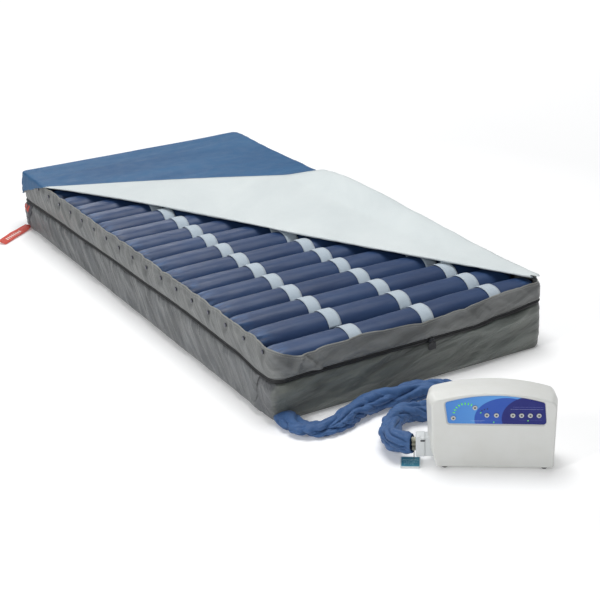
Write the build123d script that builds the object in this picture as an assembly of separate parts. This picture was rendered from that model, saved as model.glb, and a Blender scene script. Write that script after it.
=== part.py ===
from build123d import *
import math
import os

os.makedirs("parts", exist_ok=True)

# Alternating pressure relief mattress with its hose and control pump.
# Millimetres. +Z up, +Y towards the head end, -X the side with the press studs.
# The origin is the middle of the mattress's underside, on the ground.

# ---- mattress ------------------------------------------------------------
WIDTH, LENGTH = 900, 1950  # outside of the cover's walls
HEAD_CORNER, FOOT_CORNER = 20, 36  # plan radii of the outer wall
SKIN = 2  # coated fabric wall
ZIP_LOW, ZIP_HIGH = 117, 125  # the zip parts the lower cover from the surround
SURROUND_TOP = 211

CELLS = 18
CELL_PITCH = 108
CELL_WIDTH, CELL_HEIGHT, CELL_LONG = 105, 128, 888
CELL_BOTTOM = 79
CELL_FILM = 1
CREST_R, FOOT_R, END_R = 40, 25, 24

BAND_WIDE, BAND_THICK, BAND_GAP, BAND_DROP = 42, 0.8, 0.2, 32
BAND_X = (-188, 46, 286)

BASE_LEFT, BASE_RIGHT, BASE_LOW, BASE_HIGH = -411, 444, 2.5, 77

STUD_Z, STUD_R = 190, 6.25

MANIFOLD_X = (-439, -428, -417)
MANIFOLD_Z, MANIFOLD_R = 66, 5

CPR_Y, CPR_Z, CPR_R = 953, 18, 9

# ---- pump ----------------------------------------------------------------
PUMP_AT = Location((-234, -1405, 0), (0, 0, -34.8))
FRONT, SEAM, BACK = 0, 45, 100  # depths from the front face
CASE_LOW, CASE_WALL, FRONT_WALL = 6, 3, 5
PANEL_FACE, PANEL_FLOOR = 1.8, 3
BUTTON_R, BUTTON_TRAVEL = 6, 0.8
BUTTONS = {
    "button_power": (42, 141.5),
    "button_level": (94, 170),
    "button_mode": (123, 150),
    "button_static": (146, 150),
    "button_time": (185.5, 150),
    "button_firmer": (206.5, 150),
    "button_softer": (227.5, 150),
    "button_alarm": (248.5, 150),
}
METER_CENTRE, METER_R = (72, 152), 28.6  # arc of pressure lamps
LAMPS = [
    (
        METER_CENTRE[0] + METER_R * math.cos(math.radians(172 - 15.7 * k)),
        METER_CENTRE[1] + METER_R * math.sin(math.radians(172 - 15.7 * k)),
    )
    for k in range(8)
] + [(108, 156.5), (111, 162.5), (117, 165.5), (124, 167), (140, 131), (222.5, 136)]

# ---- hose ----------------------------------------------------------------
SLEEVE = 54  # outside diameter of the fabric sleeve
NECK_Z, NECK_R = 18, 12  # where it meets the mattress
HOSE_ROUTE = [
    (-424, -976, 28),
    (-430, -1026, 28),
    (-416, -1074, 28),
    (-376, -1100, 28),
    (-322, -1094, 28),
    (-270, -1072, 28),
    (-214, -1058, 28),
    (-156, -1056, 28),
    (-98, -1060, 28),
    (-44, -1064, 28),
    (6, -1086, 28),
    (38, -1130, 28),
    (28, -1182, 28),
    (-20, -1206, 28),
    (-72, -1192, 28),
    (-118, -1162, 28),
    (-168, -1152, 28),
    (-210, -1174, 29),
    (-244, -1216, 32),
    (-272, -1262, 38),
    (-289, -1305, 46),
    (-258.9, -1339.1, 49),
]


def save(name, shape):
    export_step(shape, f"parts/{name}.step")


def plan(half_x, half_y, head_r, foot_r):
    """The mattress's outline from above: tighter corners at the head."""
    face = Rectangle(2 * half_x, 2 * half_y)
    face = fillet(face.vertices().group_by(Axis.Y)[-1], head_r)
    return fillet(face.vertices().group_by(Axis.Y)[0], foot_r)


def ring(out, thick, low, high):
    """A wall that stands out mm outside the mattress's outer wall."""
    half_x, half_y = WIDTH / 2 + out, LENGTH / 2 + out
    outer = plan(half_x, half_y, HEAD_CORNER + out, FOOT_CORNER + out)
    inner = plan(
        half_x - thick,
        half_y - thick,
        HEAD_CORNER + out - thick,
        FOOT_CORNER + out - thick,
    )
    return Pos(0, 0, low) * extrude(outer - inner, high - low)


def box(x0, x1, y0, y1, z0, z1):
    return Pos((x0 + x1) / 2, (y0 + y1) / 2, (z0 + z1) / 2) * Box(
        x1 - x0, y1 - y0, z1 - z0
    )


def rod(start, end, radius):
    """A cylinder from one point to another."""
    start, end = Vector(*start), Vector(*end)
    along = end - start
    return extrude(Plane(start, z_dir=along) * Circle(radius), along.length)


# ---- covers --------------------------------------------------------------
def base_cover():
    floor = extrude(
        plan(WIDTH / 2, LENGTH / 2, HEAD_CORNER, FOOT_CORNER), SKIN
    )
    cover = floor + ring(0, SKIN, SKIN, ZIP_LOW)
    cover -= rod((-460, CPR_Y, CPR_Z), (-440, CPR_Y, CPR_Z), 13)
    hose = HOSE_ROUTE[0]
    return cover - rod((hose[0], -980, NECK_Z), (hose[0], -940, NECK_Z), NECK_R + 0.1)


def stud_places():
    for k in range(CELLS):
        yield ((CELLS - 1) / 2 - k) * CELL_PITCH


def cell_surround():
    """The upper wall that the cells button to."""
    wall = ring(0, SKIN, ZIP_HIGH, SURROUND_TOP)
    holes = [
        rod((-455, y, STUD_Z), (455, y, STUD_Z), 2) for y in stud_places()
    ]
    return wall - holes


def press_studs():
    """Cap, shank and socket ring of each stud, both long sides."""
    studs = []
    for y in stud_places():
        for side in (-1, 1):
            out, skin = side * WIDTH / 2, side * (WIDTH / 2 - SKIN)
            cap = rod((out, y, STUD_Z), (out + side * 2.4, y, STUD_Z), STUD_R)
            cap = fillet(cap.edges().filter_by(GeomType.CIRCLE).sort_by(
                lambda e: -abs(e.center().X))[0], 1.2)
            shank = rod((skin - side * 1.6, y, STUD_Z), (out, y, STUD_Z), 2)
            socket = rod((skin - side * 1.6, y, STUD_Z), (skin, y, STUD_Z), 5)
            studs.append(cap + shank + socket)
    return Compound(children=studs)


def zip_chain():
    """Tape with its raised row of teeth, all the way round."""
    tape = ring(1, 3, ZIP_LOW, ZIP_HIGH)
    return tape + ring(3, 2, 119.5, 122.5)


SLIDER_X, FOOT_FACE = 50, -LENGTH / 2 - 1  # the zip tape's face at the foot
SLIDER_BAR_Y = FOOT_FACE - 6.9


def zip_slider():
    body = box(SLIDER_X - 8, SLIDER_X + 8, FOOT_FACE - 5, FOOT_FACE - 0.3, 115, 127)
    body = fillet(body.edges().filter_by(Axis.Y), 3)
    body -= box(SLIDER_X - 9, SLIDER_X + 9, FOOT_FACE - 2.35, FOOT_FACE, 119.1, 122.9)
    for side in (-1, 1):
        x = SLIDER_X + side * 5
        body += box(x - 0.9, x + 0.9, SLIDER_BAR_Y - 2, FOOT_FACE - 4.9, 119, 123)
    return body + rod(
        (SLIDER_X - 5, SLIDER_BAR_Y, 121), (SLIDER_X + 5, SLIDER_BAR_Y, 121), 1
    )


def zip_pull():
    """Square fabric tab whose metal eye hangs on the slider's bar."""
    eye = rod(
        (SLIDER_X - 3.5, SLIDER_BAR_Y, 121), (SLIDER_X + 3.5, SLIDER_BAR_Y, 121), 1.9
    )
    neck = box(SLIDER_X - 3, SLIDER_X + 3, SLIDER_BAR_Y - 0.7, SLIDER_BAR_Y + 0.7, 114, 120)
    tab = box(SLIDER_X - 12.5, SLIDER_X + 12.5, SLIDER_BAR_Y - 0.7, SLIDER_BAR_Y + 0.7, 94, 115)
    tab = fillet(tab.edges().filter_by(Axis.Y), 3)
    bore = rod(
        (SLIDER_X - 5, SLIDER_BAR_Y, 121), (SLIDER_X + 5, SLIDER_BAR_Y, 121), 1.06
    )
    return eye + neck + tab - bore


COVER_LOW, COVER_HIGH = 212.2, 213.4
FLAP_LOW, FLAP_HIGH = 217, 218.4
SKIRT_OUT = 4.5


def flat(points, low, high):
    return Pos(0, 0, low) * extrude(make_face(Polyline(*points, close=True)), high - low)


def top_cover():
    """Laid over the head half, unzipped, and folded back along a diagonal."""
    fold_left, fold_right = (-460, 738), (438, -990)
    under = flat(
        [fold_left, fold_right, (470, -990), (470, 990), (-460, 990)], -10, 300
    )
    # every flat layer keeps inside the skirt
    outline = plan(
        WIDTH / 2 + SKIRT_OUT, LENGTH / 2 + SKIRT_OUT, HEAD_CORNER + 4, FOOT_CORNER + 4
    )
    top = (Pos(0, 0, COVER_LOW) * extrude(outline, COVER_HIGH - COVER_LOW)) & under
    skirt = ring(SKIRT_OUT, 1.2, ZIP_HIGH + 1, COVER_LOW) & under
    flap = flat(
        [
            (-447, 727),
            (-272, 648),
            (33, 449),
            (232, 363),
            (440, 254),
            (446, -930),
            (412, -927),
        ],
        FLAP_LOW,
        FLAP_HIGH,
    )
    # the turned fold joins both layers
    a, b = Vector(-430, 681), Vector(405, -926)
    side = (b - a).normalized().rotate(Axis.Z, 90) * 9
    fold = flat(
        [(p.X, p.Y) for p in (a, b, b + side, a + side)], COVER_LOW, FLAP_HIGH
    )
    roll = loft(
        [
            Plane((424, y, 228), x_dir=(1, 0, 0), z_dir=(0, 1, 0)) * Ellipse(rx, rz)
            for y, rx, rz in ((225, 8, 6), (10, 27, 15), (-240, 26, 13), (-620, 12, 8))
        ],
        ruled=True,
    )
    roll -= box(300, 500, -700, 300, 200, FLAP_HIGH - 0.7)
    return top + skirt + fold + flap + roll


# ---- air system in the mattress -------------------------------------------
def cell_face(grow):
    face = Plane.YZ * Rectangle(CELL_WIDTH + 2 * grow, CELL_HEIGHT + 2 * grow)
    face = fillet(face.vertices().group_by(Axis.Z)[-1], CREST_R + grow)
    return fillet(face.vertices().group_by(Axis.Z)[0], FOOT_R + grow)


def air_cell():
    """A sealed sausage of film, lying across the bed."""

    def sausage(grow):
        solid = extrude(cell_face(grow), CELL_LONG / 2 + grow, both=True)
        ends = solid.faces().sort_by(Axis.X)
        return fillet(ends[0].edges() + ends[-1].edges(), END_R + grow)

    return Pos(0, 0, CELL_BOTTOM + CELL_HEIGHT / 2) * (
        sausage(0) - sausage(-CELL_FILM)
    )


def cell_bands():
    """Three rows of woven bands, one band over each cell in each row."""
    strip = cell_face(BAND_GAP + BAND_THICK) - cell_face(BAND_GAP)
    strip &= Plane.YZ * Pos(0, CELL_HEIGHT / 2) * Rectangle(200, 2 * BAND_DROP)
    strip = extrude(strip, BAND_WIDE / 2, both=True)
    height = CELL_BOTTOM + CELL_HEIGHT / 2
    return Compound(
        children=[
            Pos(x, y, height) * copy
            for x in BAND_X
            for y in stud_places()
            for copy in [strip.solids()[0]]
        ]
    )


def static_base():
    """Sealed air cushion that always stays full, under the cells."""

    def cushion(grow):
        block = box(
            BASE_LEFT - grow,
            BASE_RIGHT + grow,
            -960 - grow,
            966 + grow,
            BASE_LOW - grow,
            BASE_HIGH + grow,
        )
        return fillet(block.edges(), 14 + grow)

    return cushion(0) - cushion(-1.2)


def air_manifolds():
    """Two tubes feed alternate cells, the third the static base."""
    tubes = []
    for k, x in enumerate(MANIFOLD_X):
        end = 930 if k < 2 else -880
        tube = rod((x, -944, MANIFOLD_Z), (x, end, MANIFOLD_Z), MANIFOLD_R)
        if k < 2:
            for i, y in enumerate(stud_places()):
                if i % 2 == k:
                    tube += rod((x, y, MANIFOLD_Z), (x, y, CELL_BOTTOM), 3)
        else:
            tube += rod((x, -885, MANIFOLD_Z), (BASE_LEFT, -885, MANIFOLD_Z), 3)
        tubes.append(tube)
    return Compound(children=tubes)


def hose_end(k):
    """The plane of the sleeve's cut end, facing along the hose."""
    a, b = (HOSE_ROUTE[0], HOSE_ROUTE[1]) if k == 0 else (HOSE_ROUTE[-2], HOSE_ROUTE[-1])
    along = (Vector(*b) - Vector(*a)).normalized()
    at = Vector(*a) - along * 0.05 if k == 0 else Vector(*b) + along * 0.05
    return Plane(at, z_dir=along)


def inlet_block():
    """Where the hose's tubes branch to the manifolds, inside the foot corner."""
    block = fillet(box(-445.5, -412, -964, -944, 4, 74).edges(), 3)
    room = plan(WIDTH / 2 - 2.5, LENGTH / 2 - 2.5, HEAD_CORNER - 2.5, FOOT_CORNER - 2.5)
    block &= extrude(room, 100)
    hose = HOSE_ROUTE[0]
    neck = rod((hose[0], -964, NECK_Z), (hose[0], -982, NECK_Z), NECK_R)
    return block + neck.split(hose_end(0), keep=Keep.BOTTOM)


def cpr_valve():
    """Quick-release outlet in the wall by the head corner."""
    body = rod((-451.2, CPR_Y, CPR_Z), (-424, CPR_Y, CPR_Z), 13)
    return body - rod((-452, CPR_Y, CPR_Z), (-428, CPR_Y, CPR_Z), CPR_R + 0.05)


def cpr_plug():
    plug = rod((-450, CPR_Y, CPR_Z), (-430, CPR_Y, CPR_Z), CPR_R)
    collar = rod((-454, CPR_Y, CPR_Z), (-451.5, CPR_Y, CPR_Z), 12)
    return plug + collar + rod((-452, CPR_Y, CPR_Z), (-449, CPR_Y, CPR_Z), CPR_R)


def cpr_strap():
    """Ribbon sewn to the plug, lying out on the floor."""
    path = [(-454, CPR_Y, 12), (-478, 934, 2.2), (-602, 832, 2.2)]
    half, thick = 17, 1.6
    pieces = []
    across = Vector(0.635, -0.772, 0)
    for start, end in zip(path, path[1:]):
        start, end = Vector(*start), Vector(*end)
        plane = Plane(start, x_dir=across, z_dir=end - start)
        pieces.append(
            extrude(plane * Rectangle(2 * half, thick), (end - start).length)
        )
    strap = pieces[0] + pieces[1]
    return (strap & box(-700, -454.1, 700, 1000, 0.4, 60)).solids().sort_by(
        SortBy.VOLUME
    )[-1]


# ---- hose and its connector ------------------------------------------------
def hose_sleeve():
    points = [Vector(*p) for p in HOSE_ROUTE]
    radii = []
    for a, b, c in zip(points, points[1:], points[2:]):
        turn = (b - a).get_angle(c - b)
        run = min((b - a).length, (c - b).length)
        radii.append(0.45 * run / math.tan(math.radians(turn) / 2))
    print("hose radii", [round(r) for r in radii])
    line = FilletPolyline(*points, radius=radii)
    section = Plane(points[0], z_dir=points[1] - points[0]) * Circle(SLEEVE / 2)
    tube = sweep(section, line)
    print("hose length", round(line.length), "volume", round(tube.volume),
          "section x length", round(math.pi * SLEEVE**2 / 4 * line.length))
    return tube


def at_pump(shape):
    return PUMP_AT * shape


def stub_heights():
    return (36.5, 49, 61.5)


def hose_tubes():
    """The three air tubes between the sleeve's end and the connector."""
    tubes = []
    for z in stub_heights():
        tube = rod((-64, 40, z), (-50, 40, z), 6)
        tube -= rod((-65, 40, z), (-49, 40, z), 4.2)
        tubes.append(at_pump(tube).split(hose_end(1), keep=Keep.TOP))
    return Compound(children=tubes)


def connector_body():
    body = fillet(box(-50, -26, 20, 60, 22, 76).edges(), 4)
    body += rod((-43, 19, 73), (-43, 30, 73), 7)
    body -= box(-38.3, -26.7, 15, 26, 65.7, 70.3)
    return at_pump(body)


def connector_latch():
    latch = fillet(box(-38, -27, 19, 24.2, 66, 70).edges().filter_by(Axis.Y), 1.2)
    return at_pump(latch)


def hose_tag():
    """A few plain instruction cards on a stiff loop."""
    card = fillet(box(-88, -38, 2, 54, 0.3, 4.6).edges().filter_by(Axis.Z), 4)
    return at_pump(card + rod((-54, 40, 2), (-54, 40, 30.4), 1.1))


# ---- pump ------------------------------------------------------------------
def side_plane(depth):
    """A sheet facing the front, this far back, drawn in widths and heights."""
    return Plane((0, depth, 0), x_dir=(1, 0, 0), z_dir=(0, -1, 0))


# depth: bottom left, left at the chamfer, top left, top right, bottom right,
# shoulder height, crown height
CASE = {
    FRONT: (3, -8, -11, 292, 288, 185, 209),
    SEAM: (-3, -19, -24, 297, 292, 186, 211),
    BACK: (1, -15, -19, 293, 289, 181, 206),
}


def case_face(depth, inset=0.0, at=None):
    low_l, mid_l, top_l, top_r, low_r, shoulder, crown = CASE[depth]
    left, right = (top_l + inset, shoulder - inset), (top_r - inset, shoulder - inset)
    low = CASE_LOW + inset
    walls = Polyline(
        left,
        (mid_l + inset, 48),
        (low_l + inset, low),
        (low_r - inset, low),
        right,
    )
    top = ThreePointArc(right, (125, crown - inset), left)
    face = make_face(walls + top)
    upper = face.vertices().sort_by(Axis.Y)[-2:]
    face = fillet(upper, 22 - inset)
    lower = face.vertices().group_by(Axis.Y)[0]
    face = fillet(lower, 6)
    return side_plane(depth if at is None else at) * face


def front_shell_solid():
    return loft([case_face(FRONT), case_face(SEAM)])


def rear_shell_solid():
    return loft([case_face(SEAM), case_face(BACK)])


def panel_face(grow, depth):
    face = make_face(
        Polyline((22, 183), (29, 127), (267, 126), (262, 184))
        + ThreePointArc((262, 184), (138, 202), (22, 183))
    )
    face = fillet(face.vertices(), 7)
    if grow:
        face = offset(face, grow)
    return side_plane(depth) * face


def socket_cut():
    return box(-30, -2, 22, 58, 24, 74)


def front_case():
    solid = front_shell_solid()
    front = solid.faces().sort_by(Axis.Y)[0]
    solid = fillet(front.edges(), 5)
    hollow = loft(
        [case_face(FRONT, CASE_WALL, FRONT_WALL), case_face(SEAM, CASE_WALL, SEAM + 1)]
    )
    solid -= hollow
    solid -= loft([panel_face(4.2, -0.01), panel_face(0.4, PANEL_FLOOR)])
    for u, z in BUTTONS.values():
        solid -= rod((u, -1, z), (u, 8, z), BUTTON_R + 0.3)
    for u, z in LAMPS:
        solid -= rod((u, -1, z), (u, 8, z), 1.7)
    return at_pump(solid - socket_cut())


def rear_case():
    solid = rear_shell_solid()
    back = solid.faces().sort_by(Axis.Y)[-1]
    solid = fillet(back.edges(), 9)
    hollow = loft(
        [
            case_face(SEAM, CASE_WALL, SEAM - 1),
            case_face(BACK, CASE_WALL, BACK - CASE_WALL),
        ]
    )
    solid -= hollow
    solid -= socket_cut()
    solid -= box(233.5, 262.5, 80, 110, 38, 60)
    solid -= box(SWITCH_U - 6.4, SWITCH_U + 6.4, 80, 110, 49 - 10.5, 49 + 10.5)
    for u, z in SCREWS:
        solid -= rod((u, 90, z), (u, 105, z), 1.5)
    for u in HOOKS.values():
        for z0 in (144.5, 170.5):
            ear = box(u - 5, u + 5, BACK - 2, HINGE_W + 4, z0, z0 + 5)
            solid += ear - rod((u, HINGE_W, z0 - 1), (u, HINGE_W, z0 + 6), 2)
    return at_pump(solid)


def control_panel():
    panel = extrude(panel_face(0, PANEL_FLOOR), PANEL_FLOOR - PANEL_FACE)
    for u, z in BUTTONS.values():
        panel -= rod((u, -1, z), (u, 8, z), BUTTON_R + 0.3)
    for u, z in LAMPS:
        panel -= rod((u, -1, z), (u, 8, z), 1.7)
    return at_pump(panel)


def button(u, z):
    """Stem through the panel and wall, with a retaining flange behind."""
    stem = rod((u, 0.2, z), (u, 6, z), BUTTON_R)
    rim = stem.edges().filter_by(GeomType.CIRCLE).sort_by(Axis.Y)[0]
    stem = fillet(rim, 0.9)
    return at_pump(stem + rod((u, FRONT_WALL + 0.1, z), (u, 6.4, z), 7.6))


BOARD_W = 13


def display_board():
    board = box(30, 262, BOARD_W, BOARD_W + 1.6, 120, 182)
    for u, z in LAMPS:
        board += rod((u, 1.5, z), (u, BOARD_W + 0.5, z), 1.5)
    return at_pump(board)


def outlet_socket():
    """Fills the opening in the case's side, with three air outlets."""
    block = box(-26, -2, 22, 58, 24, 74)
    for z in stub_heights():
        block -= rod((-27, 40, z), (-10, 40, z), 4)
    return at_pump(block)


def mains_inlet():
    body = box(233.5, 262.5, 82, 101.5, 38, 60)
    body = fillet(body.edges().filter_by(Axis.Y), 1.5)
    well = box(236, 260, 86, 110, 41, 57)
    body -= well
    for u, z in ((241, 47), (248, 51), (255, 47)):
        body += box(u - 1, u + 1, 85, 98, z - 2, z + 2)
    return at_pump(body)


SWITCH_U, SWITCH_W, SWITCH_Z, SWITCH_TILT = 205, 95, 49, 8


def power_switch():
    """Rocker, pressed at its lower edge."""
    end = Plane((SWITCH_U - 6, SWITCH_W, SWITCH_Z), x_dir=(0, 1, 0), z_dir=(1, 0, 0))
    drum = extrude(end * Circle(9), 12)
    trough = extrude(
        end
        * make_face(Polyline((6.3, 0), (9.5, 10), (30, 10), (30, -10), (9.5, -10), close=True)),
        12,
    )
    rocker = drum - trough
    axis = Axis((SWITCH_U, SWITCH_W, SWITCH_Z), (1, 0, 0))
    return at_pump(rocker.rotate(axis, -SWITCH_TILT))


HINGE_W = BACK + 6.5
HOOKS = {"hook_left": 62, "hook_right": 228}
SCREWS = ((18, 30), (272, 30), (18, 160), (272, 160))


def hook(u, towards):
    """Hangs the pump on a bed's foot board: an arm with a drop at its end."""
    barrel = rod((u, HINGE_W, 150), (u, HINGE_W, 170), 4)
    arm = box(*sorted((u, u + towards * 36)), HINGE_W - 2.5, HINGE_W + 2.5, 158, 170)
    far = u + towards * 36
    drop = box(*sorted((far - towards * 12, far)), HINGE_W - 2.5, HINGE_W + 2.5, 96, 168)
    shape = barrel + arm + drop
    return at_pump(shape - rod((u, HINGE_W, 140), (u, HINGE_W, 180), 2.06))


def hook_pins():
    return at_pump(
        Compound(
            children=[
                rod((u, HINGE_W, 143.5), (u, HINGE_W, 176.5), 2)
                for u in HOOKS.values()
            ]
        )
    )


def pump_feet():
    feet = []
    for u in (22, 266):
        for w in (16, 84):
            foot = rod((u, w, 0), (u, w, CASE_LOW), 8)
            feet.append(fillet(foot.edges().sort_by(Axis.Z)[0], 1.5))
    return at_pump(Compound(children=feet))


def case_screws():
    screws = []
    for u, z in SCREWS:
        head = rod((u, BACK, z), (u, BACK + 1.8, z), 3.2)
        head -= box(u - 2.4, u + 2.4, BACK + 0.9, BACK + 3, z - 0.5, z + 0.5)
        head -= box(u - 0.5, u + 0.5, BACK + 0.9, BACK + 3, z - 2.4, z + 2.4)
        screws.append(head + rod((u, BACK - 6, z), (u, BACK, z), 1.5))
    return at_pump(Compound(children=screws))


def compressor():
    """Diaphragm air pump on its rubber feet."""
    body = fillet(box(140, 236, 22, 78, 22, 88).edges(), 6)
    for u in (156, 220):
        body += rod((u, 50, 10), (u, 50, 24), 9)
    return at_pump(body + rod((188, 50, 86), (188, 50, 102), 16))


def air_valve():
    """Turning distributor that fills the two sets of cells in turn."""
    body = rod((80, 50, 10), (80, 50, 46), 26)
    body += rod((80, 50, 46), (80, 50, 74), 17)
    for z in (22, 34):
        body += rod((80, 50, z), (30, 50, z), 4)
    return at_pump(body)


# ---- write every piece -----------------------------------------------------
save("base_cover", base_cover())
save("cell_surround", cell_surround())
save("press_studs", press_studs())
save("zip_chain", zip_chain())
save("zip_slider", zip_slider())
save("zip_pull", zip_pull())
save("top_cover", top_cover())
ONE_CELL = air_cell()
for number, y in enumerate(stud_places(), 1):
    save(f"air_cell_{number:02d}", Pos(0, y, 0) * ONE_CELL)
save("cell_bands", cell_bands())
save("static_base", static_base())
save("air_manifolds", air_manifolds())
save("inlet_block", inlet_block())
save("cpr_valve", cpr_valve())
save("cpr_plug", cpr_plug())
save("cpr_strap", cpr_strap())
save("hose_sleeve", hose_sleeve())
save("hose_tubes", hose_tubes())
save("connector_body", connector_body())
save("connector_latch", connector_latch())
save("hose_tag", hose_tag())
save("front_case", front_case())
save("rear_case", rear_case())
save("control_panel", control_panel())
for name, (u, z) in BUTTONS.items():
    save(name, button(u, z))
save("display_board", display_board())
save("outlet_socket", outlet_socket())
save("mains_inlet", mains_inlet())
save("power_switch", power_switch())
save("hook_left", hook(HOOKS["hook_left"], 1))
save("hook_right", hook(HOOKS["hook_right"], -1))
save("hook_pins", hook_pins())
save("pump_feet", pump_feet())
save("case_screws", case_screws())
save("compressor", compressor())
save("air_valve", air_valve())
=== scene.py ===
import math

import bmesh
import bpy
from mathutils import Matrix, Vector, noise


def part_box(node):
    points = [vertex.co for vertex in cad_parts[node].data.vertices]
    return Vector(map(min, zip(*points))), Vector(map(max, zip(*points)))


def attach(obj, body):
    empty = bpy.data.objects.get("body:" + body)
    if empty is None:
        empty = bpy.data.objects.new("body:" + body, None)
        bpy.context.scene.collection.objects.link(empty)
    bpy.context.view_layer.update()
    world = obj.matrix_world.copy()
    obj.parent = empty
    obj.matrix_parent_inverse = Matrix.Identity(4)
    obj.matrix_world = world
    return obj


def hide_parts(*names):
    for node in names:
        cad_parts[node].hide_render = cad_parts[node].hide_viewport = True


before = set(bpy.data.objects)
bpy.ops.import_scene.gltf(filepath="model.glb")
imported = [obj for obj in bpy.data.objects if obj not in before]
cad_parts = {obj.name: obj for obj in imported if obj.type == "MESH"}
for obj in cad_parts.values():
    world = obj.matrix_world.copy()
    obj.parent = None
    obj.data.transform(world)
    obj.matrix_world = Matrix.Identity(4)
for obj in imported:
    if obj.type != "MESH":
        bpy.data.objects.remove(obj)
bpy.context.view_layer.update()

# Pressure relief mattress with its cover folded back, its hose and its pump.
# Metres, in the frame's own axes: +Z up, +Y towards the head end, and -X the
# side whose press studs show.

ROOT = "mattress_and_pump"

HALF_X, HALF_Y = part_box("base_cover")[1].xy  # the cover's outer wall
HEAD_CORNER, FOOT_CORNER = 0.020, 0.036
CELL_NAMES = [f"air_cell_{k:02d}" for k in range(1, 19)]
CELL_STEP = 0.108
BAND_X = (-0.188, 0.046, 0.286)
BAND_WIDE = 0.042
SEAM_Y = (-0.890, 0.900)  # joins in the left wall, each with a leaning slit
SLIT_TOP, SLIT_LEAN = 0.115, 0.12
PUMP_AT, PUMP_YAW = Vector((-0.234, -1.405, 0.0)), math.radians(-34.8)


# ---- shared helpers ----------------------------------------------------------
def clamp(x, low=0.0, high=1.0):
    return max(low, min(high, x))


def smooth(x, low=0.0, high=1.0):
    """0 below low, 1 above high, and an S curve between."""
    t = clamp((x - low) / (high - low))
    return t * t * (3 - 2 * t)


def along(points, x):
    """The value at x of a line through (x, value) points."""
    if x <= points[0][0]:
        return points[0][1]
    for (x0, v0), (x1, v1) in zip(points, points[1:]):
        if x <= x1:
            return v0 + (v1 - v0) * smooth(x, x0, x1)
    return points[-1][1]


def bumps(x, y, z=0.0):
    """Soft noise from about -1 to 1."""
    return noise.noise(Vector((x, y, z)), noise_basis="PERLIN_ORIGINAL")


def creases(x, y, z=0.0, sharp=2.5):
    """Sharp-topped folds in soft noise, from 0 to 1."""
    return (1 - min(1.0, 2.2 * abs(bumps(x, y, z)))) ** sharp


def layered(*layers):
    """Creases one over another, each (depth, x, y, z, sharp)."""
    return sum(depth * creases(*where) for depth, *where in layers)


def rounded(d, reach, power):
    """From 0 at an end to 1 at reach from it, steep first."""
    return (1 - (1 - min(d / reach, 1.0)) ** power) ** (1 / power)


def signed(value, power):
    """A power that keeps its sign, for boxy ovals."""
    return math.copysign(abs(value) ** power, value)


def grid_piece(name, rows, material, loop=False, uv=None):
    """A sheet through rows of points. loop joins each row's ends."""
    wide = len(rows[0])
    verts = [p for row in rows for p in row]
    faces = []
    for j in range(len(rows) - 1):
        for i in range(wide if loop else wide - 1):
            k = (i + 1) % wide
            faces.append((j * wide + i, j * wide + k, (j + 1) * wide + k, (j + 1) * wide + i))
    mesh = bpy.data.meshes.new(name)
    mesh.from_pydata([tuple(v) for v in verts], [], faces)
    if uv:
        layer = mesh.uv_layers.new(name="cloth")
        for poly in mesh.polygons:
            for corner in poly.loop_indices:
                v = mesh.loops[corner].vertex_index
                layer.data[corner].uv = uv[v // wide][v % wide]
    return add_piece(name, mesh, material)


def add_piece(name, mesh, *materials):
    for m in materials:
        mesh.materials.append(getattr(m, "material", m))
    mesh.shade_smooth()
    piece = bpy.data.objects.new(name, mesh)
    bpy.context.scene.collection.objects.link(piece)
    return piece


def edit(piece, change):
    """Runs change(bm) on a piece's mesh."""
    bm = bmesh.new()
    bm.from_mesh(piece.data)
    change(bm)
    bm.to_mesh(piece.data)
    bm.free()


def close_rings(piece, ring, *rows):
    """Faces over the named rows of a looped sheet, ring points to a row."""
    def close(bm):
        bm.verts.ensure_lookup_table()
        for j in rows:
            bm.faces.new([bm.verts[j * ring + k] for k in range(ring)])
        bmesh.ops.recalc_face_normals(bm, faces=bm.faces)

    edit(piece, close)


def face_up(piece, index):
    """Turns a sheet's faces over when the one at index looks down."""
    if piece.data.polygons[index].normal.z < 0:
        edit(piece, lambda bm: bmesh.ops.reverse_faces(bm, faces=bm.faces))


def thicken(piece, depth, inside=0):
    """Gives a sheet its thickness, inwards. inside is the far side's slot."""
    solid = piece.modifiers.new("thickness", "SOLIDIFY")
    solid.thickness, solid.offset = depth, -1
    solid.material_offset = inside
    solid.material_offset_rim = 0


def settle(piece, slot, *nodes, body=ROOT):
    """The piece's body and the CAD nodes it stands for, which it hides. slot is not used."""
    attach(piece, body)
    if nodes:
        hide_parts(*nodes)
    return piece


# ---- camera ------------------------------------------------------------------
def place_camera(place, yaw, pitch, roll, lens):
    """Yaw 0 looks along +Y and turns towards +X; pitch is downwards."""
    yaw, pitch, roll = (math.radians(a) for a in (yaw, pitch, roll))
    ahead = Vector((math.sin(yaw) * math.cos(pitch), math.cos(yaw) * math.cos(pitch), -math.sin(pitch)))
    level = Vector((math.cos(yaw), -math.sin(yaw), 0))
    up = level.cross(ahead)
    side = level * math.cos(roll) + up * math.sin(roll)
    up = up * math.cos(roll) - level * math.sin(roll)
    data = bpy.data.cameras.new("camera")
    data.lens, data.sensor_width = lens, 36
    data.clip_start, data.clip_end = 0.05, 60
    camera = bpy.data.objects.new("camera", data)
    camera.matrix_world = Matrix.Translation(place) @ Matrix((side, up, -ahead)).transposed().to_4x4()
    bpy.context.scene.collection.objects.link(camera)
    bpy.context.scene.camera = camera


place_camera(Vector((-1.9642, -3.8634, 1.6947)), 29.01, 22.34, -2.12, 82.5)


# ---- finishes ----------------------------------------------------------------
def rgb(r, g, b):
    """Screen colour, 0 to 255, as the shader's linear colour."""
    return tuple(
        c / 3294.6 if c <= 10 else ((c / 255 + 0.055) / 1.055) ** 2.4 for c in (r, g, b)
    ) + (1.0,)


WAVE_PITCH = 0.314      # metres between the ridges of a wave texture of scale 1


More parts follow.
